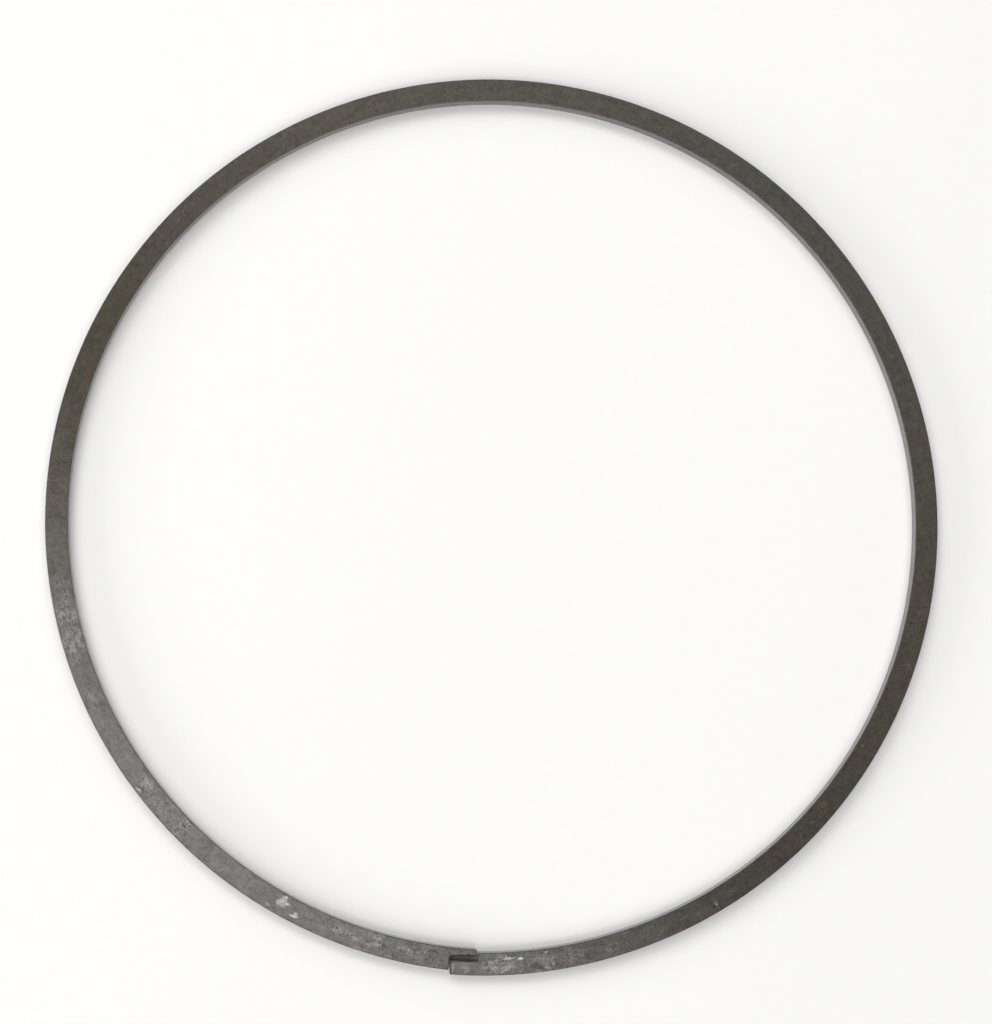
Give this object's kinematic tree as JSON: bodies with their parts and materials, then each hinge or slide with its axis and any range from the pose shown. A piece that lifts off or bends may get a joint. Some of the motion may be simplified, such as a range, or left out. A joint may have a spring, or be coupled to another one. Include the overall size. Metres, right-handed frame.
{
  "type": "sealing ring",
  "caption": "Open, flat metal sealing ring of rectangular section, with a lapped step joint that closes as the ring springs out against its bore.",
  "frame": {"origin": "centre of the circle that fits the free ring best, in the plane of its underside", "axes": "+Z along the ring's axis, up from the underside; the joint is on the -Y side, with the end that carries the outer tongue on the +X side of it"},
  "size_m": [0.0959, 0.0963, 0.0019],
  "materials": {
    "phosphated_iron": "dark, matt, mottled phosphate coat on machined iron, rubbed lighter in places and on its edges"
  },
  "bodies": {
    "root": {"sealing_ring": "phosphated_iron"}
  },
  "joints": []
}
